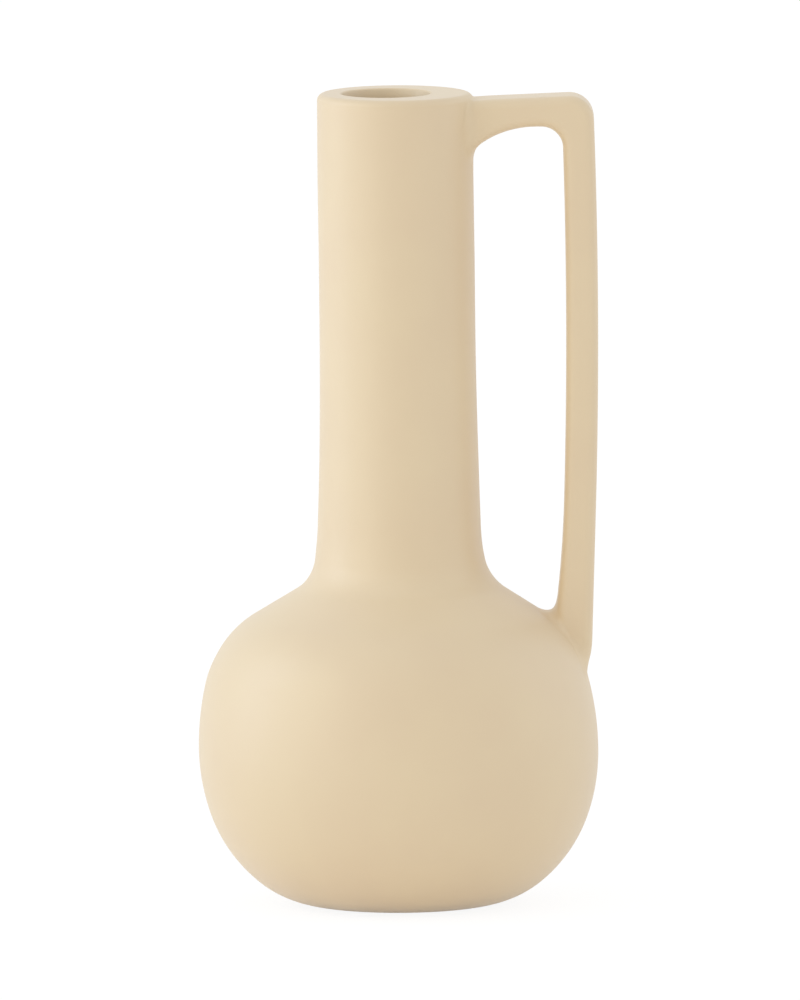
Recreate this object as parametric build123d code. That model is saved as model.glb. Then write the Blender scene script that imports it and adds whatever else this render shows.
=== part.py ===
from build123d import *
from math import cos, radians, sin, sqrt, tan
import os

# One-handled ceramic bottle vase, in millimetres and degrees.
# The origin is on the vase's axis in the plane it stands on, +Z is up, and the handle is on +X.
# Clay sections and the slip that joins them are separate solids that meet face to face.

# Overall
overall_height = 300.0
body_wall = 5.5

# Foot: a bare flat ring round a shallow recess
foot_radius = 28.3
foot_band = 6.0
foot_recess = 1.5

# Belly: three arcs from the foot out to the waist, its widest ring, and two more up to the shoulder
under_radius = 37.8
under_turn = 38.5
heel_radius = 54.8
heel_turn = 32.4
side_radius = 73.6
upper_side_radius = 105.3
upper_side_turn = 15.6
shoulder_corner_radius = 36.6
shoulder_slope = 31.9

# Neck: a tight root, a short flare, a long slow sweep, then a cylinder up to the mouth
neck_radius = 28.5
neck_root_radius = 17.0
neck_flare_radius = 93.0
neck_flare_turn = 7.6
neck_sweep_radius = 2230.0
neck_sweep_turn = 2.0

# Mouth: a thick ring that closes in to a smaller bore, which lies off the axis, away from the handle
mouth_ring_height = 36.0
mouth_radius = 15.8
mouth_offset = 3.2
mouth_bore_length = 10.0
lip_round = 1.4
rim_round = 2.6

# Slip joints: a thin layer, and a coil or bead along the seam inside
slip_thickness = 0.6
seam_coil_radius = 1.8
mouth_bead_radius = 1.0

# Strap handle: a slightly bowed upright and an arm that meets the neck just under the rim
strap_width = 21.0
strap_thickness = 11.7
strap_edge_round = 3.5
strap_bow_radius = 2250.0
strap_crest_proud = 0.6
strap_crest_height = 217.0
arm_thickness = 11.5
arm_drop_at_corner = 0.6
arm_drop_at_neck = 2.9
outer_corner_round = 9.0
inner_corner_round = 8.0

# Root of the arm: the underside dips towards the neck, then turns down its wall
brace_length_share = 0.478
brace_drop = 5.4
brace_round = 35.5
root_reach = 2.4
root_drop = 8.3
root_round = 4.5

# Foot of the handle: the inner face flares, then turns out to its toe on the shoulder
flare_height = 39.4
flare_round = 60.0
toe_height = 8.2
toe_reach = 5.2
toe_round = 25.0

# A round in the handle's side view takes at most this share of the shorter side next to it
round_side_share = 0.5

# Blanks run this far into the clay before the vase's own surface trims them
overrun = 10.0


def polar(centre, radius, angle):
    """The point at an angle on a circle in the profile plane, as (radius, height)."""
    return (centre[0] + radius * cos(radians(angle)), centre[1] + radius * sin(radians(angle)))


# Arc centres of the belly's outline. Each arc is tangent to the next.
side_turn = 90 - under_turn - heel_turn
under_centre = (foot_radius, under_radius)
heel_centre = polar(under_centre, heel_radius - under_radius, 90 + under_turn)
side_centre = polar(heel_centre, side_radius - heel_radius, 180 - side_turn)
belly_radius = side_centre[0] + side_radius
waist_height = side_centre[1]
upper_centre = (belly_radius - upper_side_radius, waist_height)
corner_centre = polar(upper_centre, upper_side_radius - shoulder_corner_radius, upper_side_turn)
shoulder_edge = polar(corner_centre, shoulder_corner_radius, 90 - shoulder_slope)

# Arc centres of the neck's outline. The straight shoulder is as long as the neck's radius asks.
neck_lean = neck_flare_turn + neck_sweep_turn
shoulder_run = (
    shoulder_edge[0]
    - neck_radius
    + neck_root_radius * (sin(radians(shoulder_slope)) - cos(radians(neck_lean)))
    + neck_flare_radius * (cos(radians(neck_lean)) - cos(radians(neck_sweep_turn)))
    + neck_sweep_radius * (cos(radians(neck_sweep_turn)) - 1)
)
shoulder_top = (
    shoulder_edge[0] - shoulder_run,
    shoulder_edge[1] + shoulder_run * tan(radians(shoulder_slope)),
)
root_centre = polar(shoulder_top, neck_root_radius, 90 - shoulder_slope)
flare_centre = polar(root_centre, neck_flare_radius - neck_root_radius, neck_lean)
sweep_centre = polar(flare_centre, neck_sweep_radius - neck_flare_radius, neck_sweep_turn)

# The strap's crest stands just outside the belly's widest ring
strap_crest_reach = belly_radius + strap_crest_proud

# Seams between the clay sections
neck_seam = polar(root_centre, neck_root_radius, 180 + neck_lean)
neck_seam_height = neck_seam[1]
mouth_seam_height = overall_height - mouth_ring_height

# Heights inside the mouth ring: its throat starts just above the seam's bead and ends at the bore
throat_base = mouth_seam_height + mouth_bead_radius
bore_top = overall_height - lip_round
bore_bottom = bore_top - mouth_bore_length


def wall_line(inset, top):
    """The vase's outline from its foot up to a height, moved inwards by inset."""
    return [
        CenterArc(under_centre, under_radius - inset, -90, under_turn),
        CenterArc(heel_centre, heel_radius - inset, under_turn - 90, heel_turn),
        CenterArc(side_centre, side_radius - inset, -side_turn, side_turn),
        CenterArc(upper_centre, upper_side_radius - inset, 0, upper_side_turn),
        CenterArc(
            corner_centre,
            shoulder_corner_radius - inset,
            upper_side_turn,
            90 - shoulder_slope - upper_side_turn,
        ),
        Line(
            polar(corner_centre, shoulder_corner_radius - inset, 90 - shoulder_slope),
            polar(root_centre, neck_root_radius + inset, 270 - shoulder_slope),
        ),
        CenterArc(
            root_centre,
            neck_root_radius + inset,
            270 - shoulder_slope,
            shoulder_slope + neck_lean - 90,
        ),
        CenterArc(flare_centre, neck_flare_radius + inset, 180 + neck_lean, -neck_flare_turn),
        CenterArc(sweep_centre, neck_sweep_radius + inset, 180 + neck_sweep_turn, -neck_sweep_turn),
        Line(
            polar(sweep_centre, neck_sweep_radius + inset, 180),
            (neck_radius - inset, top),
        ),
    ]


def wall_face():
    """Half section of the vase's wall and floor, as if thrown in one piece up to the rim's height."""
    inner_band = foot_radius - foot_band
    edges = wall_line(0, overall_height) + wall_line(body_wall, overall_height)
    edges += [
        Line((neck_radius, overall_height), (neck_radius - body_wall, overall_height)),
        Line((foot_radius, body_wall), (0, body_wall)),
        Line((0, body_wall), (0, foot_recess)),
        Line((0, foot_recess), (inner_band - foot_recess, foot_recess)),
        Line((inner_band - foot_recess, foot_recess), (inner_band, 0)),
        Line((inner_band, 0), (foot_radius, 0)),
    ]
    return make_face(edges)


def filled_face(grow):
    """Half section of the whole vase with no hollow, its outline moved outwards by grow."""
    top = overall_height + overrun
    edges = wall_line(-grow, top)
    edges += [
        Line((neck_radius + grow, top), (0, top)),
        Line((0, top), (0, -grow)),
        Line((0, -grow), (foot_radius, -grow)),
    ]
    return make_face(edges)


def rim_face():
    """Half section of the mouth ring before it is bored, solid to the axis above the seam's bead."""
    inner_radius = neck_radius - body_wall
    base = mouth_seam_height + slip_thickness / 2
    rim_height = overall_height - rim_round
    edges = [
        Line((inner_radius, base), (neck_radius, base)),
        Line((neck_radius, base), (neck_radius, rim_height)),
        CenterArc((neck_radius - rim_round, rim_height), rim_round, 0, 90),
        Line((neck_radius - rim_round, overall_height), (0, overall_height)),
        Line((0, overall_height), (0, throat_base)),
        Line((0, throat_base), (inner_radius, throat_base)),
        Line((inner_radius, throat_base), (inner_radius, base)),
    ]
    return make_face(edges)


def lip_face():
    """Half section of the bore about its own axis, opening at the top over its rounded lip."""
    lip_reach = mouth_radius + lip_round
    edges = [
        Line((0, bore_bottom), (mouth_radius, bore_bottom)),
        Line((mouth_radius, bore_bottom), (mouth_radius, bore_top)),
        CenterArc((lip_reach, bore_top), lip_round, 180, -90),
        Line((lip_reach, overall_height), (lip_reach, overall_height + overrun)),
        Line((lip_reach, overall_height + overrun), (0, overall_height + overrun)),
        Line((0, overall_height + overrun), (0, bore_bottom)),
    ]
    return make_face(edges)


def throat():
    """The hollow that narrows from the neck's wall, on the vase's axis, to the bore, on its own."""
    neck_circle = Pos(0, 0, throat_base) * Circle(neck_radius - body_wall)
    bore_circle = Pos(-mouth_offset, 0, bore_bottom) * Circle(mouth_radius)
    return loft([neck_circle, bore_circle], ruled=True)


def band(low, high):
    """A level strip of the profile plane between two heights, wider than the vase."""
    reach = belly_radius + overrun
    return Pos(reach / 2, (low + high) / 2) * Rectangle(reach, high - low)


def turned(section):
    """A half section turned once round the vase's axis."""
    return revolve(Plane.XZ * section, axis=Axis.Z)


def clay_section(low, high):
    """The part of the wall between two seams, cut back by half a slip layer at each."""
    return turned(wall_face() & band(low + slip_thickness / 2, high - slip_thickness / 2))


def seam_joint(height, wall_radius, bead_radius):
    """The slip layer at a seam, with the coil or bead that lies along it inside the vase."""
    wall = wall_face()
    layer = wall & band(height - slip_thickness / 2, height + slip_thickness / 2)
    bead = Pos(wall_radius, height) * Circle(bead_radius) - wall
    return turned(layer + bead)


def belly_bowl():
    return clay_section(-overrun, waist_height)


def shoulder_dome():
    return clay_section(waist_height, neck_seam_height)


def neck_tube():
    return clay_section(neck_seam_height, mouth_seam_height)


def mouth_ring():
    return turned(rim_face()) - Pos(-mouth_offset) * turned(lip_face()) - throat()


def strap_reach(height, depth):
    """How far out the bowed strap stands at a height, at a depth below its outer face."""
    radius = strap_bow_radius - depth
    centre = strap_crest_reach - strap_bow_radius
    return centre + sqrt(radius**2 - (height - strap_crest_height) ** 2)


def bow(start, end, depth):
    """The strap's long bow between two heights, at a depth below its outer face."""
    heights = (start, (start + end) / 2, end)
    return ThreePointArc(*[(strap_reach(height, depth), height) for height in heights])


def fitted_round(before, corner, after, wanted):
    """The radius wanted at a corner, or the largest that its shorter side leaves room for."""
    back = Vector(*before) - Vector(*corner)
    ahead = Vector(*after) - Vector(*corner)
    half_turn = radians(180 - back.get_angle(ahead)) / 2
    room = round_side_share * min(back.length, ahead.length)
    return min(wanted, room / tan(half_turn))


def handle_outline():
    """The handle's side view, running on into the neck and the shoulder."""
    arm_top = overall_height - arm_drop_at_corner
    underside = arm_top - arm_thickness
    flare_start = shoulder_edge[1] + flare_height
    inside_neck = neck_radius / 2

    neck_top = (inside_neck, overall_height - arm_drop_at_neck)
    outer_corner = (strap_reach(arm_top, 0), arm_top)
    outer_end = (strap_reach(waist_height, 0), waist_height)
    toe = (shoulder_edge[0] + toe_reach, shoulder_edge[1] + toe_height)
    toe_end = (
        shoulder_edge[0] - overrun * toe_reach / toe_height,
        shoulder_edge[1] - overrun,
    )
    flare = (strap_reach(flare_start, strap_thickness), flare_start)
    inner_corner = (strap_reach(underside, strap_thickness), underside)
    brace = (neck_radius + brace_length_share * (inner_corner[0] - neck_radius), underside)
    root = (neck_radius + root_reach, underside - brace_drop)
    root_end = (
        neck_radius - overrun * root_reach / root_drop,
        root[1] - root_drop - overrun,
    )

    outline = make_face(
        [
            Line(neck_top, outer_corner),
            bow(arm_top, waist_height, 0),
            Line(outer_end, (toe_end[0], waist_height)),
            Line((toe_end[0], waist_height), toe_end),
            Line(toe_end, toe),
            Line(toe, flare),
            bow(flare_start, underside, strap_thickness),
            Line(inner_corner, brace),
            Line(brace, root),
            Line(root, root_end),
            Line(root_end, (inside_neck, root_end[1])),
            Line((inside_neck, root_end[1]), neck_top),
        ]
    )
    corners = [
        (neck_top, outer_corner, outer_end, outer_corner_round),
        (toe_end, toe, flare, toe_round),
        (toe, flare, inner_corner, flare_round),
        (flare, inner_corner, brace, inner_corner_round),
        (inner_corner, brace, root, brace_round),
        (brace, root, root_end, root_round),
    ]
    for before, corner, after, wanted in corners:
        vertex = outline.vertices().sort_by_distance(corner)[0]
        outline = fillet(vertex, fitted_round(before, corner, after, wanted))
    return outline


def handle_blank():
    """The whole handle with its edges rounded, before its two ends are cut to their seats."""
    blank = extrude(Plane.XZ * handle_outline(), strap_width / 2, both=True)
    front = blank.faces().sort_by(Axis.Y)[0]
    back = blank.faces().sort_by(Axis.Y)[-1]
    return fillet(front.edges() + back.edges(), strap_edge_round)


def handle_strap(blank):
    """The handle cut back at its seats on the neck and the shoulder, clear by a slip layer."""
    return blank - turned(filled_face(slip_thickness))


def handle_slip_joints(blank):
    """The slip layers that fill the two seats, the foot's first."""
    layer = turned(filled_face(slip_thickness)) - turned(filled_face(0))
    return (blank & layer).solids().sort_by(Axis.Z)


def main():
    blank = handle_blank()
    foot_joint, arm_joint = handle_slip_joints(blank)
    nodes = {
        "belly_bowl": belly_bowl(),
        "shoulder_dome": shoulder_dome(),
        "neck_tube": neck_tube(),
        "mouth_ring": mouth_ring(),
        "handle_strap": handle_strap(blank),
        "waist_slip_joint": seam_joint(
            waist_height, belly_radius - body_wall, seam_coil_radius
        ),
        "neck_slip_joint": seam_joint(
            neck_seam_height, neck_seam[0] - body_wall, seam_coil_radius
        ),
        "mouth_slip_joint": seam_joint(
            mouth_seam_height, neck_radius - body_wall, mouth_bead_radius
        ),
        "handle_arm_slip_joint": arm_joint,
        "handle_foot_slip_joint": foot_joint,
    }
    os.makedirs("parts", exist_ok=True)
    for name, solid in nodes.items():
        export_step(solid, f"parts/{name}.step")


main()
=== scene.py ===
"""One-handled ceramic bottle vase in satin cream glaze: clay sections, slip seams, handle, studio.

Shape values are in millimetres and degrees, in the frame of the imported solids: the origin is on the
vase's axis in the plane it stands on, +Z is up and the handle is on +X.
"""
from math import asin, cos, degrees, hypot, pi, radians, sin, sqrt, tan

import bpy
import numpy as np
from mathutils import Matrix, Vector


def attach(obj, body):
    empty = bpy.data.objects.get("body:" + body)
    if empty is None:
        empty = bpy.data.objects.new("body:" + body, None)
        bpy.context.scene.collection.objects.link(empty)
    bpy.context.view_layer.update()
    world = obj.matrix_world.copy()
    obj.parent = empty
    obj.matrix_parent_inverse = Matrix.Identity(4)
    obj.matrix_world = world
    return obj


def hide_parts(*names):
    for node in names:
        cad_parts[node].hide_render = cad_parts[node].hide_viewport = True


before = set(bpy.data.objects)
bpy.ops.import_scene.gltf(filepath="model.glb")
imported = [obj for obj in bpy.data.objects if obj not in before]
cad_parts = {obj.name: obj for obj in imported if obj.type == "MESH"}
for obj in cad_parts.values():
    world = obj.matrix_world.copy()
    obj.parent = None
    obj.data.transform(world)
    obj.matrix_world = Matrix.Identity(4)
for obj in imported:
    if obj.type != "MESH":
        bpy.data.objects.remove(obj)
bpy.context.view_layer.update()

MM = 0.001

# Overall
overall_height = 300.0
body_wall = 5.5

# Foot: a bare flat ring round a shallow recess
foot_radius = 28.3
foot_band = 6.0
foot_recess = 1.5

# Belly: three arcs from the foot out to the waist, its widest ring, and two more up to the shoulder
under_radius = 37.8
under_turn = 38.5
heel_radius = 54.8
heel_turn = 32.4
side_radius = 73.6
upper_side_radius = 105.3
upper_side_turn = 15.6
shoulder_corner_radius = 36.6
shoulder_slope = 31.9

# Neck: a tight root, a short flare, a long slow sweep, then a cylinder up to the mouth
neck_radius = 28.65
neck_root_radius = 17.0
neck_flare_radius = 93.0
neck_flare_turn = 7.6
neck_sweep_radius = 2230.0
neck_sweep_turn = 2.0

# Mouth: a thick ring that closes in to a smaller bore, which lies off the axis, away from the
# handle. Its lip turns in over a small round and a slow bell.
mouth_ring_height = 36.0
mouth_radius = 15.8
mouth_offset = 3.2
mouth_bore_length = 10.0
lip_round = 0.9
lip_bell_radius = 12.0
lip_bell_turn = 17.0
rim_round = 2.6

# Slip joints: a thin layer, and a coil or bead along the seam inside
slip_thickness = 0.6
seam_coil_radius = 1.8
mouth_bead_radius = 1.0

# Strap handle: an upright, bowed above and straight below, and an arm that meets the neck just
# under the rim
strap_width = 21.0
strap_thickness = 11.7
strap_edge_round = 3.5
strap_bow_radius = 2250.0
strap_crest_proud = 0.6
strap_crest_height = 217.0
strap_straight_top = 145.0
arm_thickness = 11.7
arm_drop_at_corner = 0.6
arm_drop_at_neck = 2.9
outer_corner_round = 9.0
inner_corner_round = 8.0

# Underside of the arm: one sweep from level down to the neck's wall
brace_start = 51.5
brace_radius = 36.0

# Inner face of the upright: it leans in towards its toe on the shoulder
flare_start = 148.0
flare_radius = 430.0

# Outer face of the upright: its last stretch is pressed in to a notch against the belly
press_start = 99.0
press_radius = 32.0

# The fired vase wavers a little about its axis: pairs of a height and how far it stands off along X
# there. The handle keeps its place, so the waver fades out over the first stretch off the vase.
lean_stations = (
    (0.0, 0.65),
    (20.0, 0.45),
    (42.0, 0.25),
    (57.0, 0.0),
    (84.0, -0.3),
    (92.0, 0.3),
    (104.0, 0.55),
    (118.0, 1.3),
    (132.0, 0.7),
    (165.0, 0.7),
    (210.0, 0.4),
    (240.0, 0.25),
    (268.0, -0.05),
    (300.0, -0.1),
)
lean_fade = 8.0

# The rim is a little lower on the side away from the handle, and lower still in front
rim_dip_away = 0.12
rim_dip_front = 0.4
rim_dip_start = 240.0

# Slip smoothed into the corner where the handle meets the vase: how wide the blend is on each side.
# The crease starts to widen at a share of half the strap's thickness.
arm_top_blend = 1.8
arm_blend_width = 4.0
toe_blend = 9.6
toe_side_blend = 4.2
crease_blend = 1.2
crease_fade_start = 0.6
crease_fade_blend = 4.6

# Mesh spacing: points round the axis, and steps along arcs (degrees) and walls
turns_around = 240
arc_step = 1.5
wall_step = 2.5

# Rows of the handle: two tucked into the clay at each end, a skirt over the vase as far as the slip
# runs, a run up the handle's end, which starts out as slip, and the rows between the two ends. The
# arm's run ends at a reach and the foot's at a height, and the rows down the upright stop short of
# that height by a least step or more. The search for the shoulder starts at a rise above the waist.
tuck_rows = 2
skirt_rows = 14
run_rows = 26
slip_rows = 9
corner_rows = 30
arm_step = 2.0
upright_step = 4.0
least_step = 1.0
arm_end = 42.0
foot_end = 150.0
foot_search_rise = 10.0

# Columns round the handle's section: on each broad face, round each edge and on each narrow side
face_steps = 10
edge_steps = 8
side_steps = 6

# The skirt's edge lies just past the slip, and is tucked a little further on and into the clay.
# Rows crowd towards where the handle and the vase meet.
skirt_margin = 1.02
skirt_crowding = 1.2
run_crowding = 2
tuck_reach = 0.4
tuck_sink = 0.03
tuck_depth = 1.0

# How finely surfaces are probed, walked over and settled on
touching = 1e-6
probe = 0.02
slope_probe = 0.35
path_step = 0.25
longest_path = 120
path_settlings = 2
settlings = 6
halvings = 40


def polar(centre, radius, angle):
    """The point at an angle on a circle in the profile plane, as (reach, height)."""
    return (centre[0] + radius * cos(radians(angle)), centre[1] + radius * sin(radians(angle)))


# Arc centres of the belly's outline. Each arc is tangent to the next.
side_turn = 90 - under_turn - heel_turn
under_centre = (foot_radius, under_radius)
heel_centre = polar(under_centre, heel_radius - under_radius, 90 + under_turn)
side_centre = polar(heel_centre, side_radius - heel_radius, 180 - side_turn)
belly_radius = side_centre[0] + side_radius
waist_height = side_centre[1]
upper_centre = (belly_radius - upper_side_radius, waist_height)
corner_centre = polar(upper_centre, upper_side_radius - shoulder_corner_radius, upper_side_turn)
shoulder_edge = polar(corner_centre, shoulder_corner_radius, 90 - shoulder_slope)

# Arc centres of the neck's outline. The straight shoulder is as long as the neck's radius asks.
neck_lean = neck_flare_turn + neck_sweep_turn
shoulder_run = (
    shoulder_edge[0]
    - neck_radius
    + neck_root_radius * (sin(radians(shoulder_slope)) - cos(radians(neck_lean)))
    + neck_flare_radius * (cos(radians(neck_lean)) - cos(radians(neck_sweep_turn)))
    + neck_sweep_radius * (cos(radians(neck_sweep_turn)) - 1)
)
shoulder_top = (
    shoulder_edge[0] - shoulder_run,
    shoulder_edge[1] + shoulder_run * tan(radians(shoulder_slope)),
)
root_centre = polar(shoulder_top, neck_root_radius, 90 - shoulder_slope)
flare_centre = polar(root_centre, neck_flare_radius - neck_root_radius, neck_lean)
sweep_centre = polar(flare_centre, neck_sweep_radius - neck_flare_radius, neck_sweep_turn)

# Seams between the clay sections
neck_seam = polar(root_centre, neck_root_radius, 180 + neck_lean)
mouth_seam_height = overall_height - mouth_ring_height
half_slip = slip_thickness / 2

# Heights inside the mouth ring, and the arc centres of its lip. The throat starts level with the
# top of the seam's bead, and ends at the bore.
throat_base = mouth_seam_height + mouth_bead_radius
lip_height = overall_height - lip_round
bell_height = lip_height - (lip_bell_radius - lip_round) * sin(radians(lip_bell_turn))
bell_centre = (mouth_radius + lip_bell_radius, bell_height)
lip_centre = polar(bell_centre, lip_bell_radius - lip_round, 180 - lip_bell_turn)
bore_bottom = lip_height - mouth_bore_length

# The strap's crest, and the centre that its long bow turns about
strap_crest_reach = belly_radius + strap_crest_proud
bow_centre = (strap_crest_reach - strap_bow_radius, strap_crest_height)


def arc(centre, radius, start, turn):
    """A stretch of outline on a circle, from an angle through a turn. Air is on its right."""
    return {"centre": np.array(centre), "radius": radius, "start": start, "turn": turn}


def line(start, end):
    """A straight stretch of outline. Air is on its right."""
    return {"ends": np.array([start, end], float)}


def reverse(outline):
    """The same outline walked the other way, with the air on its other side."""
    back = []
    for piece in reversed(outline):
        if "ends" in piece:
            back.append(line(piece["ends"][1], piece["ends"][0]))
        else:
            end = piece["start"] + piece["turn"]
            back.append(arc(piece["centre"], piece["radius"], end, -piece["turn"]))
    return back


def sample(piece):
    """Points along a stretch of outline with their normals, which point into the air."""
    if "ends" in piece:
        start, end = piece["ends"]
        length = hypot(*(end - start))
        along = (end - start) / length
        share = np.linspace(0, 1, max(2, int(length / wall_step) + 1))[:, None]
        points = start + share * (end - start)
        return points, np.tile((along[1], -along[0]), (len(points), 1))
    steps = max(2, int(abs(piece["turn"]) / arc_step) + 1)
    steps = max(steps, int(radians(abs(piece["turn"])) * piece["radius"] / wall_step) + 1)
    angles = np.radians(piece["start"] + piece["turn"] * np.linspace(0, 1, steps + 1))
    outward = np.stack([np.cos(angles), np.sin(angles)], axis=1)
    side = 1 if piece["turn"] > 0 else -1
    return piece["centre"] + piece["radius"] * outward, side * outward


def cut_piece(piece, low, high):
    """The part of a stretch of outline between two heights, or None where it has none."""
    if "ends" in piece:
        (r0, z0), (r1, z1) = piece["ends"]
        cuts = max(low, min(z0, z1)), min(high, max(z0, z1))
        if cuts[0] >= cuts[1]:
            return None
        return line(*[(r0 + (r1 - r0) * (z - z0) / (z1 - z0), z) for z in cuts])
    middle = piece["start"] + piece["turn"] / 2

    def angle_at(z):
        rise = degrees(asin(max(-1, min(1, (z - piece["centre"][1]) / piece["radius"]))))
        return min((rise, 180 - rise), key=lambda angle: abs(angle - middle))

    first, last = piece["start"], piece["start"] + piece["turn"]
    z0 = polar(piece["centre"], piece["radius"], first)[1]
    z1 = polar(piece["centre"], piece["radius"], last)[1]
    if z1 <= low or z0 >= high:
        return None
    first = angle_at(low) if z0 < low else first
    last = angle_at(high) if z1 > high else last
    return arc(piece["centre"], piece["radius"], first, last - first)


def wall_line(inset, low, high):
    """The vase's outline between two heights, walked upwards, moved inwards by inset."""
    slope_angle = 90 - shoulder_slope
    whole = [
        arc(under_centre, under_radius - inset, -90, under_turn),
        arc(heel_centre, heel_radius - inset, under_turn - 90, heel_turn),
        arc(side_centre, side_radius - inset, -side_turn, side_turn),
        arc(upper_centre, upper_side_radius - inset, 0, upper_side_turn),
        arc(
            corner_centre,
            shoulder_corner_radius - inset,
            upper_side_turn,
            slope_angle - upper_side_turn,
        ),
        line(
            polar(corner_centre, shoulder_corner_radius - inset, slope_angle),
            polar(root_centre, neck_root_radius + inset, 180 + slope_angle),
        ),
        arc(root_centre, neck_root_radius + inset, 180 + slope_angle, neck_lean - slope_angle),
        arc(flare_centre, neck_flare_radius + inset, 180 + neck_lean, -neck_flare_turn),
        arc(sweep_centre, neck_sweep_radius + inset, 180 + neck_sweep_turn, -neck_sweep_turn),
        line(
            polar(sweep_centre, neck_sweep_radius + inset, 180),
            (neck_radius - inset, overall_height),
        ),
    ]
    cuts = [cut_piece(piece, low, high) for piece in whole]
    return [piece for piece in cuts if piece]


def end_of(outline):
    """The last point of an outline."""
    return tuple(sample(outline[-1])[0][-1])


def start_of(outline):
    """The first point of an outline."""
    return tuple(sample(outline[0])[0][0])


def section_outline(low, high):
    """A wall section between two seams, clear of half a slip layer at each."""
    outer = wall_line(0, low + half_slip, high - half_slip)
    inner = reverse(wall_line(body_wall, low + half_slip, high - half_slip))
    top = [line(end_of(outer), start_of(inner))]
    bottom = [line(end_of(inner), start_of(outer))]
    return outer + top + inner + bottom


def bowl_outline():
    """The lower belly with its floor, from the axis under the foot round to the axis inside."""
    inner_band = foot_radius - foot_band
    foot = [
        line((0, foot_recess), (inner_band - foot_recess, foot_recess)),
        line((inner_band - foot_recess, foot_recess), (inner_band, 0)),
        line((inner_band, 0), (foot_radius, 0)),
    ]
    outer = wall_line(0, 0, waist_height - half_slip)
    inner = reverse(wall_line(body_wall, 0, waist_height - half_slip))
    floor = [line(end_of(inner), (0, body_wall))]
    return foot + outer + [line(end_of(outer), start_of(inner))] + inner + floor


def rim_outline():
    """The outside of the mouth ring's rim and its flat top, walked inwards."""
    rim_height = overall_height - rim_round
    return [
        arc((neck_radius - rim_round, rim_height), rim_round, 0, 90),
        line((neck_radius - rim_round, overall_height), (lip_centre[0], overall_height)),
    ]


def off_axis(stretch, start, end):
    """A stretch whose rings lie off the axis, away from the handle, by a distance at each end."""
    return {**stretch, "offsets": (start, end)}


def mouth_outline():
    """The mouth ring: its outside about the vase's axis, and its bore about an axis beside it.

    The lip turns in over a small round, then over a slow bell that runs out into the upright bore.
    """
    base = mouth_seam_height + half_slip
    inner_radius = neck_radius - body_wall
    rim, top = rim_outline()
    lip = arc(lip_centre, lip_round, 90, 90 - lip_bell_turn)
    bell = arc(bell_centre, lip_bell_radius, 180 - lip_bell_turn, lip_bell_turn)
    bore = line((mouth_radius, bell_height), (mouth_radius, bore_bottom))
    throat = line((mouth_radius, bore_bottom), (inner_radius, throat_base))
    return [
        line((neck_radius, base), (neck_radius, overall_height - rim_round)),
        rim,
        off_axis(top, 0, mouth_offset),
        off_axis(lip, mouth_offset, mouth_offset),
        off_axis(bell, mouth_offset, mouth_offset),
        off_axis(bore, mouth_offset, mouth_offset),
        off_axis(throat, mouth_offset, 0),
        line((inner_radius, throat_base), (inner_radius, base)),
        line((inner_radius, base), (neck_radius, base)),
    ]


def seam_outline(height, inner_radius, bead_radius):
    """A slip layer through the wall, with the coil or bead along it inside the vase."""
    outer = wall_line(0, height - half_slip, height + half_slip)
    bead_top = (inner_radius, height + bead_radius)
    bead_bottom = (inner_radius, height - bead_radius)
    return (
        outer
        + [line(end_of(outer), (inner_radius, height + half_slip))]
        + [line((inner_radius, height + half_slip), bead_top)]
        + [arc((inner_radius, height), bead_radius, 90, 180)]
        + [line(bead_bottom, (inner_radius, height - half_slip))]
        + [line((inner_radius, height - half_slip), start_of(outer))]
    )


def outline_distance(outline, reach, height):
    """How far points of the profile plane stand outside an outline, for points close to it."""
    nearest = np.full(reach.shape, np.inf)
    for piece in outline:
        if "ends" in piece:
            start, end = piece["ends"]
            length = hypot(*(end - start))
            along = (end - start) / length
            share = ((reach - start[0]) * along[0] + (height - start[1]) * along[1]) / length
            inside = (share >= 0) & (share <= 1)
            apart = (reach - start[0]) * along[1] - (height - start[1]) * along[0]
        else:
            out = (reach - piece["centre"][0], height - piece["centre"][1])
            angle = np.degrees(np.arctan2(out[1], out[0]))
            middle = piece["start"] + piece["turn"] / 2
            off_middle = (angle - middle + 180) % 360 - 180
            inside = np.abs(off_middle) <= abs(piece["turn"]) / 2
            side = 1 if piece["turn"] > 0 else -1
            apart = side * (np.hypot(*out) - piece["radius"])
        better = inside & (np.abs(apart) < np.abs(nearest))
        nearest = np.where(better, apart, nearest)
    return nearest


vase_outline = wall_line(0, waist_height, overall_height - rim_round) + rim_outline()


def eased(share):
    """A share from 0 to 1 with a gentle start and end."""
    share = np.clip(share, 0, 1)
    return share * share * (3 - 2 * share)


def leaned(points):
    """Points moved by the lean and the rim's dip, which fade out over the handle's free span."""
    reach, height = np.hypot(points[:, 0], points[:, 1]), points[:, 2]
    clear = np.maximum(0, outline_distance(vase_outline, reach, height))
    share = 1 - eased(np.where(np.isfinite(clear), clear, 0) / lean_fade)
    offset = np.interp(height, *zip(*lean_stations)) * share
    near_rim = eased((height - rim_dip_start) / (overall_height - rim_dip_start)) * share
    away, front = neck_radius - points[:, 0], neck_radius - points[:, 1]
    dip = near_rim * (rim_dip_away * away + rim_dip_front * front) / (2 * neck_radius)
    return points + np.stack([offset, np.zeros_like(dip), -dip], axis=1)


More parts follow.
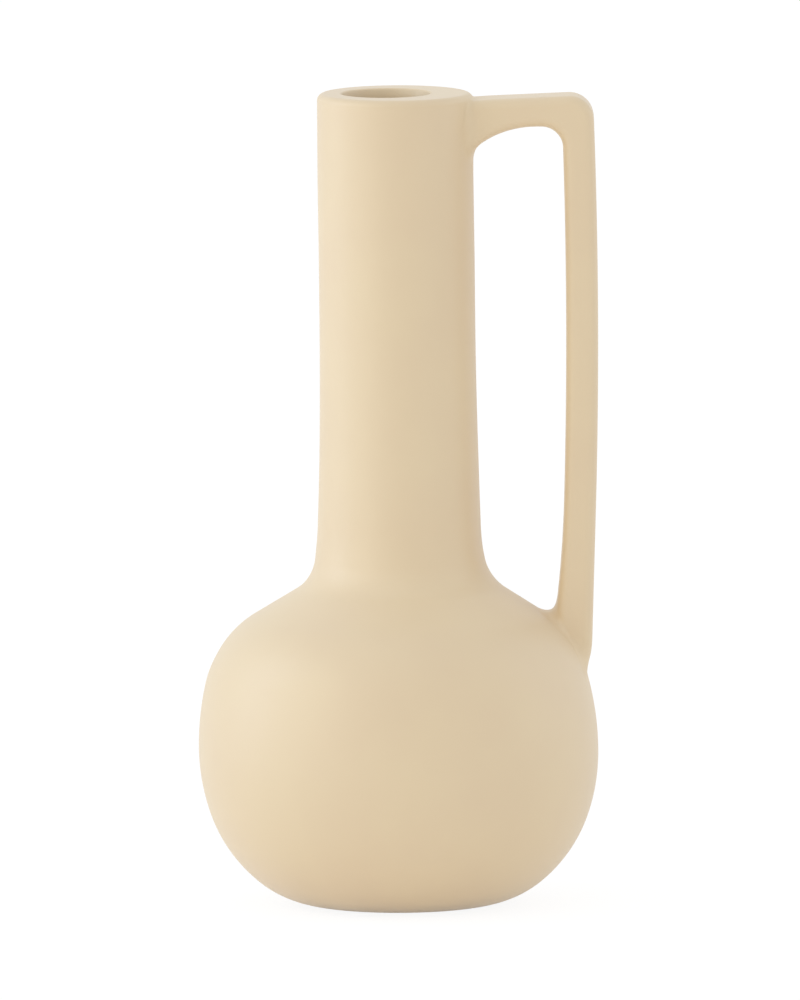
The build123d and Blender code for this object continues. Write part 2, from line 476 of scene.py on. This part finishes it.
class Shell:
    """A closed mesh in the making: rows of points joined by faces, with normals at the corners."""

    def __init__(self, name):
        self.name = name
        self.points = []
        self.faces = []
        self.normals = []

    def add_row(self, row):
        """Adds a row of points and returns their numbers. A row of one point is a pole."""
        first = len(self.points)
        self.points.extend(np.asarray(row).tolist())
        return list(range(first, len(self.points)))

    def bridge(self, near, far, near_normals, far_normals):
        """Joins two rows that each close on themselves."""
        count = max(len(near), len(far))
        for i in range(count):
            j = (i + 1) % count
            if len(near) == 1:
                corners = [(near, near_normals, 0), (far, far_normals, j), (far, far_normals, i)]
            elif len(far) == 1:
                corners = [(near, near_normals, i), (near, near_normals, j), (far, far_normals, 0)]
            else:
                corners = [(near, near_normals, i), (near, near_normals, j)]
                corners += [(far, far_normals, j), (far, far_normals, i)]
            self.faces.append([row[k] for row, _, k in corners])
            self.normals.extend(normals[k] for _, normals, k in corners)

    def finished(self):
        """The mesh object, in metres."""
        mesh = bpy.data.meshes.new(self.name)
        mesh.from_pydata((leaned(np.array(self.points)) * MM).tolist(), [], self.faces)
        mesh.polygons.foreach_set("use_smooth", [True] * len(mesh.polygons))
        mesh.normals_split_custom_set([tuple(normal) for normal in self.normals])
        mesh.validate(clean_customdata=False)
        piece = bpy.data.objects.new(self.name, mesh)
        bpy.context.scene.collection.objects.link(piece)
        return piece


def ring(radius, height):
    """A level ring of points, or the one point that it shrinks to on the axis."""
    if radius < touching:
        return np.array([(0.0, 0.0, height)])
    angles = 2 * pi * np.arange(turns_around) / turns_around
    flat = np.full(turns_around, height)
    return np.stack([radius * np.cos(angles), radius * np.sin(angles), flat], axis=1)


def ring_normals(normal, count):
    """A profile normal turned round the axis."""
    if count == 1:
        return np.array([(0.0, 0.0, np.sign(normal[1]))])
    return ring(1, normal[1]) * (normal[0], normal[0], 1)


def turned(name, outline):
    """A piece turned on the wheel: its outline carried once round the vase's axis."""
    shell = Shell(name)
    closes = np.allclose(start_of(outline), end_of(outline), atol=touching)
    first = row = shell.add_row(ring(*start_of(outline)))
    for number, stretch in enumerate(outline):
        points, normals = sample(stretch)
        offsets = np.linspace(*stretch.get("offsets", (0, 0)), len(points))
        for k in range(1, len(points)):
            last = closes and number == len(outline) - 1 and k == len(points) - 1
            place = ring(*points[k]) - (offsets[k], 0, 0)
            following = first if last else shell.add_row(place)
            shell.bridge(
                row,
                following,
                ring_normals(normals[k - 1], len(row)),
                ring_normals(normals[k], len(following)),
            )
            row = following
    return shell.finished()


# The handle's side view. Its outer side is the arm's top, a round and the long bow; its inner side
# is the arm's underside, a round, and the bow's inner face with its lean towards the toe.
arm_top_height = overall_height - arm_drop_at_corner
underside_height = arm_top_height - arm_thickness


def strap_reach(height, depth):
    """How far out the strap stands at a height, at a depth below its outer face."""
    bowed = np.maximum(height, strap_straight_top)
    rise = bowed - bow_centre[1]
    run = np.sqrt((strap_bow_radius - depth) ** 2 - rise**2)
    return bow_centre[0] + run + (bowed - height) * rise / run


def inner_face(height):
    """How far out the upright's inner face stands at a height."""
    lean = np.maximum(0, flare_start - height) ** 2 / (2 * flare_radius)
    return strap_reach(height, strap_thickness) - lean


def outer_face(height):
    """How far out the upright's outer face stands at a height."""
    press = np.maximum(0, press_start - height) ** 2 / (2 * press_radius)
    return strap_reach(height, 0) - press


def arm_top(reach):
    """The height of the arm's top face, which dips a little towards the neck."""
    corner = strap_reach(arm_top_height, 0)
    share = (corner - reach) / (corner - neck_radius / 2)
    return arm_top_height - share * (arm_drop_at_neck - arm_drop_at_corner)


def arm_underside(reach):
    """The height of the arm's underside, level and then sweeping down to the neck."""
    back = np.maximum(0, brace_start - reach)
    return underside_height - brace_radius + np.sqrt(brace_radius**2 - back**2)


def slope_at(curve, place):
    """The slope of a curve of the side view at a place."""
    return (curve(place + slope_probe) - curve(place - slope_probe)) / (2 * slope_probe)


def bar_distance(outer_side, inner_side, across):
    """How far points stand outside a bar with rounded edges, from its two sides and its middle."""
    side = np.maximum(outer_side, inner_side) + strap_edge_round
    across = np.abs(across) - (strap_width / 2 - strap_edge_round)
    outside = np.hypot(np.maximum(side, 0), np.maximum(across, 0))
    return np.minimum(np.maximum(side, across), 0) + outside - strap_edge_round


def arm_distance(points):
    """How far points stand outside the arm."""
    x, y, z = points.T
    top = (z - arm_top(x)) / np.hypot(1, slope_at(arm_top, x))
    under = (arm_underside(x) - z) / np.hypot(1, slope_at(arm_underside, x))
    return bar_distance(top, under, y)


def upright_distance(points):
    """How far points stand outside the upright."""
    x, y, z = points.T
    outer = (x - outer_face(z)) / np.hypot(1, slope_at(outer_face, z))
    inner = (inner_face(z) - x) / np.hypot(1, slope_at(inner_face, z))
    return bar_distance(outer, inner, y)


def vase_distance(points):
    """How far points stand outside the vase."""
    x, y, z = points.T
    return outline_distance(vase_outline, np.hypot(x, y), z)


def arm_blend(points):
    """How wide the slip is smoothed at the arm's root: least on top."""
    x, y, z = points.T
    middle = (arm_top(x) + arm_underside(x)) / 2
    up = eased((z - middle) / (arm_top(x) - middle))
    return arm_blend_width + up * (arm_top_blend - arm_blend_width)


def foot_blend(points):
    """How wide the slip is smoothed at the foot: a round toe that runs on round its corners, a
    crease on each side that fades outwards, and a heel as sharp as the crease.
    """
    x, y, z = points.T
    share = (x - inner_face(z)) / (outer_face(z) - inner_face(z))
    middle = eased((strap_width / 2 - np.abs(y)) / (2 * strap_edge_round))
    toe = eased(1 - 2 * share)
    toe_width = toe_side_blend + middle * (toe_blend - toe_side_blend)
    fade = eased(2 * share - crease_fade_start) * (1 - middle)
    return (
        crease_blend
        + toe * (toe_width - crease_blend)
        + fade * (crease_fade_blend - crease_blend)
    )


def blended(bar, vase, blend):
    """Distance outside a bar and the vase with the slip smoothed into the corner between them."""

    def field(points):
        a, b, width = bar(points), vase(points), blend(points)
        overlap = np.maximum(width - np.abs(a - b), 0) / width
        return np.minimum(a, b) - overlap**2 * width / 4

    return field


def gradient(field, points):
    """The direction in which a distance grows fastest."""
    parts = []
    for axis in np.eye(3) * probe:
        parts.append((field(points + axis) - field(points - axis)) / (2 * probe))
    steepest = np.stack(parts, axis=1)
    return steepest / np.linalg.norm(steepest, axis=1)[:, None]


def settled(field, points, rounds=settlings):
    """Points moved to the surface where a distance is zero."""
    for _ in range(rounds):
        points = points - field(points)[:, None] * gradient(field, points)
    return points


def section_columns():
    """Columns round the handle's section, from the outer face round the front, the inner face and
    the back. Each is its place across, and its depth as shares of the thickness and two rounds.
    """
    flat = strap_width / 2 - strap_edge_round
    columns = [(flat - 2 * flat * k / face_steps, 0, 0, 0) for k in range(face_steps)]
    for k in range(edge_steps):
        angle = pi / 2 * k / edge_steps
        columns.append((-flat - strap_edge_round * sin(angle), 0, 1 - cos(angle), 0))
    for k in range(side_steps):
        share = k / side_steps
        columns.append((-strap_width / 2, share, 1 - share, -share))
    for k in range(edge_steps):
        angle = pi / 2 * k / edge_steps
        columns.append((-flat - strap_edge_round * cos(angle), 1, 0, sin(angle) - 1))
    front = np.array(columns)
    inner = [(2 * flat * k / face_steps - flat, 1, 0, 0) for k in range(face_steps + 1)]
    back = front[face_steps + 1:][::-1] * (-1, 1, 1, 1)
    return np.concatenate([front, inner, back])


across, thickness_share, outer_share, inner_share = section_columns().T


def depth_below(thickness, outer_round, inner_round):
    """Every column's depth below the outer side."""
    return thickness_share * thickness + outer_share * outer_round + inner_share * inner_round


def arm_column(reach):
    """The columns' points at their own distances out along the arm."""
    top, under = arm_top(reach), arm_underside(reach)
    under_round = strap_edge_round * np.hypot(1, slope_at(arm_underside, reach))
    depth = depth_below(top - under, strap_edge_round, under_round)
    return np.stack([reach, across, top - depth], axis=1)


def upright_column(height):
    """The columns' points at their own heights on the upright."""
    outer, inner = outer_face(height), inner_face(height)
    depth = depth_below(outer - inner, strap_edge_round, strap_edge_round)
    return np.stack([outer - depth, across, height], axis=1)


def meeting_place(column, inside, outside):
    """Where the columns meet the vase's surface, by halving the stretch between two places."""
    low, high = np.full(len(across), inside), np.full(len(across), outside)
    for _ in range(halvings):
        middle = (low + high) / 2
        within = vase_distance(column(middle)) < 0
        low, high = np.where(within, middle, low), np.where(within, high, middle)
    return (low + high) / 2


def skirt(bar, blend, contact):
    """Rows over the vase's surface, away from the handle, to where the smoothed slip runs out."""
    paths = [contact]
    place = contact
    walking = np.ones(len(contact), bool)
    length = np.zeros(len(contact))
    while walking.any() and len(paths) < longest_path:
        away, up = gradient(bar, place), gradient(vase_distance, place)
        along = away - (away * up).sum(axis=1)[:, None] * up
        along /= np.linalg.norm(along, axis=1)[:, None]
        step = settled(vase_distance, place + path_step * along, path_settlings)
        place = np.where(walking[:, None], step, place)
        length = length + path_step * walking
        paths.append(place)
        walking &= bar(place) < blend(place) * skirt_margin
    paths = np.array(paths)
    result = []
    for share in np.linspace(0, 1, skirt_rows + 1)[1:] ** skirt_crowding:
        at = share * length / path_step
        low = np.minimum(at.astype(int), len(paths) - 2)
        part = (at - low)[:, None]
        index = np.arange(len(length))
        result.append(paths[low, index] * (1 - part) + paths[low + 1, index] * part)
    return np.array(result)


def end_rows(column, bar, blend, inside, outside):
    """Rows from the vase's surface up the handle's end, smoothed in, with their normals."""
    meeting = meeting_place(column, inside, outside)
    field = blended(bar, vase_distance, blend)
    contact = column(meeting)
    shares = np.linspace(0, 1, run_rows + 1) ** run_crowding
    run = [column(meeting + (outside - meeting) * share) for share in shares]
    rows = list(skirt(bar, blend, contact)[::-1]) + run
    rows = np.array([settled(field, row) for row in rows])
    normals = np.array([gradient(field, row) for row in rows])
    return rows, normals


def tucked(row, normals, beyond):
    """Two rows that carry an end on over the vase's surface and then down into its clay."""
    out = row - beyond
    out /= np.linalg.norm(out, axis=1)[:, None]
    lip = settled(vase_distance, row + tuck_reach * out) - tuck_sink * normals
    return [lip - tuck_depth * normals, lip]


# The handle's corner: the centres of its inner round and of its outer round, as (reach, height)
corner_middle = np.array(
    [
        inner_face(underside_height - inner_corner_round) - inner_corner_round,
        underside_height - inner_corner_round,
    ]
)
outer_round_reach = strap_reach(arm_top_height - outer_corner_round, 0) - outer_corner_round
outer_round_centre = np.array([outer_round_reach, arm_top(outer_round_reach) - outer_corner_round])


def ray_to_circle(origin, along, centre, radius):
    """The distance along a ray, from a point inside a circle, to the circle."""
    off = origin - np.array(centre)
    half = off @ along
    return -half + sqrt(max(0, half**2 - off @ off + radius**2))


def outer_corner_hit(angle):
    """The distance from the inner round's centre to the handle's outer side, along a ray."""
    along = np.array([cos(angle), sin(angle)])
    to_round = ray_to_circle(corner_middle, along, outer_round_centre, outer_corner_round)
    to_bow = ray_to_circle(corner_middle, along, bow_centre, strap_bow_radius)
    top_slope = slope_at(arm_top, corner_middle[0])
    rise = arm_top(corner_middle[0]) - corner_middle[1]
    to_top = rise / max(touching, sin(angle) - top_slope * cos(angle))
    hit = corner_middle + to_round * along
    on_round = hit[0] > outer_round_centre[0] and hit[1] > outer_round_centre[1]
    return to_round if on_round else min(to_bow, to_top)


def corner_row(angle):
    """The outer and inner points of the handle's corner, on a ray from its inner round's centre."""
    along = np.array([cos(angle), sin(angle)])
    outer = corner_middle + outer_corner_hit(angle) * along
    inner = corner_middle + inner_corner_round * along
    return outer, inner


def side_row(outer, inner, outer_lean, inner_lean):
    """A row of the handle between a point on its outer side and one on its inner side."""
    thickness = hypot(*(inner - outer))
    down = (inner - outer) / thickness
    depth = depth_below(thickness, strap_edge_round / outer_lean, strap_edge_round / inner_lean)
    place = outer + depth[:, None] * down
    return np.stack([place[:, 0], across, place[:, 1]], axis=1)


def middle_rows():
    """Rows from the arm's end round the corner and down to the foot's end."""
    sides = []
    for reach in np.arange(arm_end + arm_step, corner_middle[0], arm_step):
        sides.append(((reach, arm_top(reach)), (reach, arm_underside(reach))))
    for angle in np.linspace(pi / 2, 0, corner_rows + 1):
        sides.append(corner_row(angle))
    for height in np.arange(corner_middle[1] - upright_step, foot_end + least_step, -upright_step):
        sides.append(((strap_reach(height, 0), height), (inner_face(height), height)))
    outer = np.array([side[0] for side in sides])
    inner = np.array([side[1] for side in sides])
    down = (inner - outer) / np.hypot(*(inner - outer).T)[:, None]
    leans = []
    for edge in (outer, inner):
        along = np.gradient(edge, axis=0)
        along /= np.hypot(*along.T)[:, None]
        leans.append(np.abs(along[:, 0] * down[:, 1] - along[:, 1] * down[:, 0]))
    return np.array([side_row(*row) for row in zip(outer, inner, *leans)])


def grid_normals(grid):
    """Normals of a grid of points whose rows close on themselves."""
    along = np.gradient(grid, axis=0)
    around = np.roll(grid, -1, axis=1) - np.roll(grid, 1, axis=1)
    normals = np.cross(around, along)
    return normals / np.linalg.norm(normals, axis=2)[:, :, None]


def handle_grid():
    """All the handle's rows from the neck to the shoulder, tucked in at both ends, with normals."""
    arm_rows, arm_normals = end_rows(
        arm_column, arm_distance, arm_blend, neck_radius - body_wall, arm_end
    )
    foot_rows, foot_normals = end_rows(
        upright_column, upright_distance, foot_blend, waist_height + foot_search_rise, foot_end
    )
    arm_tuck = tucked(arm_rows[0], arm_normals[0], arm_rows[1])
    foot_tuck = tucked(foot_rows[0], foot_normals[0], foot_rows[1])
    grid = np.concatenate([arm_rows, middle_rows(), foot_rows[::-1]])
    normals = grid_normals(grid)
    normals[: len(arm_rows)] = arm_normals
    normals[-len(foot_rows):] = foot_normals[::-1]
    grid = np.concatenate([arm_tuck, grid, foot_tuck[::-1]])
    normals = np.concatenate(
        [[arm_normals[0]] * tuck_rows, normals, [foot_normals[0]] * tuck_rows]
    )
    return grid, normals


def lofted(name, grid, normals):
    """A closed piece of the handle: its rows joined, with a cap fanned over each end."""
    shell = Shell(name)
    rows = [shell.add_row(row) for row in grid]
    for end, beside in ((0, 1), (-1, -2)):
        middle = grid[end].mean(axis=0)
        facing = middle - grid[beside].mean(axis=0)
        facing /= np.linalg.norm(facing)
        cap = np.tile(facing, (len(rows[0]), 1))
        pole = shell.add_row([middle])
        if end == 0:
            shell.bridge(pole, rows[0], cap[:1], cap)
        else:
            shell.bridge(rows[-1], pole, cap, cap[:1])
    for k in range(len(rows) - 1):
        shell.bridge(rows[k], rows[k + 1], normals[k], normals[k + 1])
    return shell.finished()


def handle_pieces():
    """The strap and the slip smoothed round each of its two ends."""
    grid, normals = handle_grid()
    split = tuck_rows + skirt_rows + slip_rows
    return {
        "handle_arm_slip_joint": lofted("glazed_arm_slip", grid[: split + 1], normals[: split + 1]),
        "handle_strap": lofted("glazed_handle_strap", grid[split:-split], normals[split:-split]),
        "handle_foot_slip_joint": lofted(
            "glazed_foot_slip", grid[-split - 1:], normals[-split - 1:]
        ),
    }


def clay_pieces():
    """The turned sections and the slip seams between them, by the node each one stands for."""
    return {
        "belly_bowl": turned("glazed_belly_bowl", bowl_outline()),
        "shoulder_dome": turned(
            "glazed_shoulder_dome",
            section_outline(waist_height, neck_seam[1]),
        ),
        "neck_tube": turned(
            "glazed_neck_tube",
            section_outline(neck_seam[1], mouth_seam_height),
        ),
        "mouth_ring": turned("glazed_mouth_ring", mouth_outline()),
        "waist_slip_joint": turned(
            "waist_slip_seam",
            seam_outline(waist_height, belly_radius - body_wall, seam_coil_radius),
        ),
        "neck_slip_joint": turned(
            "neck_slip_seam",
            seam_outline(neck_seam[1], neck_seam[0] - body_wall, seam_coil_radius),
        ),
        "mouth_slip_joint": turned(
            "mouth_slip_seam",
            seam_outline(mouth_seam_height, neck_radius - body_wall, mouth_bead_radius),
        ),
    }


def linear(hex_colour):
    """An sRGB hex colour as linear red, green, blue and alpha."""
    parts = [int(hex_colour[k:k + 2], 16) / 255 for k in (1, 3, 5)]
    turned_linear = [c / 12.92 if c <= 0.04045 else ((c + 0.055) / 1.055) ** 2.4 for c in parts]
    return (*turned_linear, 1.0)


def add(tree, kind, inputs=(), **settings):
    """Adds a shader node with its settings, and links or sets its inputs."""
    made = tree.nodes.new("ShaderNode" + kind)
    for name, value in settings.items():
        setattr(made, name, value)
    for name, value in dict(inputs).items():
        if isinstance(value, bpy.types.NodeSocket):
            tree.links.new(value, made.inputs[name])
        else:
            made.inputs[name].default_value = value
    return made


def empty_material(name):
    """A material with an empty node tree."""
    material = bpy.data.materials.new(name)
    material.use_nodes = True
    material.node_tree.nodes.clear()
    return material


def per_size(size):
    """The scale of a noise pattern whose grains are a size in millimetres, on metre coordinates."""
    return 1 / (size * MM)


# Satin cream glaze: a smooth eggshell skin that scatters its highlights wide, with faint clouding
# where the glaze lies thicker or thinner, and a pale bloom where it is seen edge on. The skin's
# ripple is finer on a real glaze, and is drawn as wide as it needs to be to show.
glaze_cream = "#E7D3B0"
glaze_cream_thin = "#E5D0AE"
glaze_cloud_size = 34.0
glaze_cloud_detail = 3.0
glaze_cloud_crispness = 0.45
glaze_cloud_edges = (0.35, 0.65)
glaze_skin_size = 1.6
glaze_skin_detail = 2.0
glaze_skin_depth = 0.012
glaze_roughness_least = 0.44
glaze_roughness_most = 0.5
glaze_ior = 1.7
glaze_bloom = 0.2
glaze_bloom_roughness = 0.5


def satin_cream_glaze():
    """The glaze that covers every piece, apart from the foot ring."""
    material = empty_material("satin_cream_glaze")
    tree = material.node_tree
    place = add(tree, "TexCoord").outputs["Object"]
    clouds = add(
        tree,
        "TexNoise",
        {
            "Vector": place,
            "Scale": per_size(glaze_cloud_size),
            "Detail": glaze_cloud_detail,
            "Roughness": glaze_cloud_crispness,
        },
    )
    colour = add(tree, "ValToRGB", {"Fac": clouds.outputs["Fac"]})
    thin, thick = colour.color_ramp.elements
    thin.position, thick.position = glaze_cloud_edges
    thin.color, thick.color = linear(glaze_cream_thin), linear(glaze_cream)
    satin = add(
        tree,
        "MapRange",
        {
            "Value": clouds.outputs["Fac"],
            "To Min": glaze_roughness_least,
            "To Max": glaze_roughness_most,
        },
    )
    skin = add(
        tree,
        "TexNoise",
        {"Vector": place, "Scale": per_size(glaze_skin_size), "Detail": glaze_skin_detail},
    )
    bump = add(tree, "Bump", {"Height": skin.outputs["Fac"], "Distance": glaze_skin_depth * MM})
    shader = add(
        tree,
        "BsdfPrincipled",
        {
            "Base Color": colour.outputs["Color"],
            "Roughness": satin.outputs["Result"],
            "IOR": glaze_ior,
            "Sheen Weight": glaze_bloom,
            "Sheen Roughness": glaze_bloom_roughness,
            "Normal": bump.outputs["Normal"],
        },
    )
    add(tree, "OutputMaterial", {"Surface": shader.outputs["BSDF"]})
    return material


# Bare fired clay on the foot ring: dry, chalky and a little darker than the glaze, with fine grit.
# The grit is drawn coarser than real grog, so that it shows. The potter wipes the glaze off the
# ring and off the belly's first rise beside it.
bare_clay = "#D9C4A0"
bare_clay_grit = "#C2A983"
grit_size = 0.7
grit_detail = 4.0
grit_edges = (0.3, 0.55)
grit_depth = 0.05
bare_roughness = 0.9
bare_rise = 0.15


def bare_fired_clay():
    """The clay that shows where the vase stands."""
    material = empty_material("bare_fired_clay")
    tree = material.node_tree
    place = add(tree, "TexCoord").outputs["Object"]
    grit = add(
        tree,
        "TexNoise",
        {"Vector": place, "Scale": per_size(grit_size), "Detail": grit_detail},
    )
    colour = add(tree, "ValToRGB", {"Fac": grit.outputs["Fac"]})
    dark, light = colour.color_ramp.elements
    dark.position, light.position = grit_edges
    dark.color, light.color = linear(bare_clay_grit), linear(bare_clay)
    bump = add(tree, "Bump", {"Height": grit.outputs["Fac"], "Distance": grit_depth * MM})
    shader = add(
        tree,
        "BsdfPrincipled",
        {
            "Base Color": colour.outputs["Color"],
            "Roughness": bare_roughness,
            "Normal": bump.outputs["Normal"],
        },
    )
    add(tree, "OutputMaterial", {"Surface": shader.outputs["BSDF"]})
    return material


# Studio. Lengths are in metres, lamp powers in watts. The floor lies a hair under the foot ring, so
# that the two don't fight for the same plane. It glows to the camera, takes the vase's shadow on a
# grey, and throws a warm white back up at the belly.
white = "#FFFFFF"
floor_size = 40.0
floor_gap = 0.0002
floor_bounce = "#FFFAF4"
floor_glow = 0.9
floor_shade = "#6A6A6A"
lamp_size = (1.2, 2.0)
key_place = (-2.2, 0.1, 0.8)
key_power = 15.0
key_colour = "#D5E7FF"
front_place = (-1.7, -1.4, 0.8)
front_power = 7.0
front_colour = "#FFFDF0"
fill_place = (2.2, 0.3, 0.8)
fill_power = 3.8
fill_colour = "#EAF4FF"
aim_height = 0.15
room_seen = 1.0
room_light = 0.768


def seen_rays(tree):
    """1 for camera, mirror and see-through rays, and 0 for the light that falls on the vase."""
    path = add(tree, "LightPath")
    some = add(
        tree,
        "Math",
        {0: path.outputs["Is Camera Ray"], 1: path.outputs["Is Glossy Ray"]},
        operation="MAXIMUM",
    )
    return add(
        tree,
        "Math",
        {0: some.outputs[0], 1: path.outputs["Is Transmission Ray"]},
        operation="MAXIMUM",
    ).outputs[0]


def floor_material():
    """Pale studio floor: white with a soft shadow where it is seen, a warm white to the light."""
    material = empty_material("pale_studio_floor")
    tree = material.node_tree
    glow = add(tree, "Emission", {"Color": linear(white), "Strength": floor_glow})
    shade = add(tree, "BsdfDiffuse", {"Color": linear(floor_shade)})
    seen = add(tree, "AddShader", {0: glow.outputs[0], 1: shade.outputs[0]})
    bounce = add(tree, "BsdfDiffuse", {"Color": linear(floor_bounce)})
    mix = add(tree, "MixShader", {0: seen_rays(tree), 1: bounce.outputs[0], 2: seen.outputs[0]})
    add(tree, "OutputMaterial", {"Surface": mix.outputs[0]})
    return material


def make_floor():
    """One flat sheet of floor, not attached to any of the vase's bodies."""
    half = floor_size / 2
    mesh = bpy.data.meshes.new("studio_floor")
    corners = [(-half, -half), (half, -half), (half, half), (-half, half)]
    mesh.from_pydata([(x, y, -floor_gap) for x, y in corners], [], [(0, 1, 2, 3)])
    floor = bpy.data.objects.new("studio_floor", mesh)
    bpy.context.scene.collection.objects.link(floor)
    mesh.materials.append(floor_material())


def make_world():
    """A white room: seen as plain white, and lighting the vase evenly from all round."""
    world = bpy.data.worlds.new("studio")
    world.use_nodes = True
    tree = world.node_tree
    tree.nodes.clear()
    seen = add(tree, "Background", {"Color": linear(white), "Strength": room_seen})
    light = add(tree, "Background", {"Color": linear(white), "Strength": room_light})
    mix = add(tree, "MixShader", {0: seen_rays(tree), 1: light.outputs[0], 2: seen.outputs[0]})
    add(tree, "OutputWorld", {"Surface": mix.outputs[0]})
    bpy.context.scene.world = world


def area_lamp(name, place, power, colour):
    """A soft box that faces the middle of the vase."""
    lamp = bpy.data.lights.new(name, "AREA")
    lamp.shape = "RECTANGLE"
    lamp.size, lamp.size_y = lamp_size
    lamp.energy = power
    lamp.color = linear(colour)[:3]
    holder = bpy.data.objects.new(name, lamp)
    aim = Vector((0, 0, aim_height)) - Vector(place)
    holder.rotation_euler = aim.to_track_quat("-Z", "Y").to_euler()
    holder.location = place
    bpy.context.scene.collection.objects.link(holder)


# Camera: a long lens, a little above the vase's middle. The lens is in millimetres, the lengths are
# in metres.
camera_distance = 10.8
camera_rise = 6.5
camera_tilt = -0.3
camera_lens = 1056.8
camera_target = (0.001, 0.0, 0.1492)
camera_far = 60.0


def make_camera():
    """The camera in front of the vase, raised and tilted as the photograph was taken."""
    camera = bpy.data.cameras.new("camera")
    camera.lens = camera_lens
    camera.clip_end = camera_far
    holder = bpy.data.objects.new("camera", camera)
    back = Vector((0, -cos(radians(camera_rise)), sin(radians(camera_rise))))
    turn = Matrix.Rotation(radians(90 - camera_rise), 4, "X")
    tilt = Matrix.Rotation(radians(camera_tilt), 4, "Z")
    place = Matrix.Translation(Vector(camera_target) + camera_distance * back)
    holder.matrix_world = place @ turn @ tilt
    bpy.context.scene.collection.objects.link(holder)
    bpy.context.scene.camera = holder


def dress(pieces):
    """Gives every piece its glaze and its body, hides the imported node it stands for, and
    leaves the bowl's foot ring bare.
    """
    glaze = satin_cream_glaze()
    for node, piece in pieces.items():
        piece.data.materials.append(glaze)
        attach(piece, "root")
        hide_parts(node)
    bowl = pieces["belly_bowl"]
    bowl.data.materials.append(bare_fired_clay())
    for face in bowl.data.polygons:
        if face.center.z < bare_rise * MM:
            face.material_index = 1


make_camera()
make_floor()
make_world()
area_lamp("key_softbox", key_place, key_power, key_colour)
area_lamp("front_softbox", front_place, front_power, front_colour)
area_lamp("fill_softbox", fill_place, fill_power, fill_colour)
dress({**clay_pieces(), **handle_pieces()})

bpy.context.scene.view_settings.view_transform = "Standard"
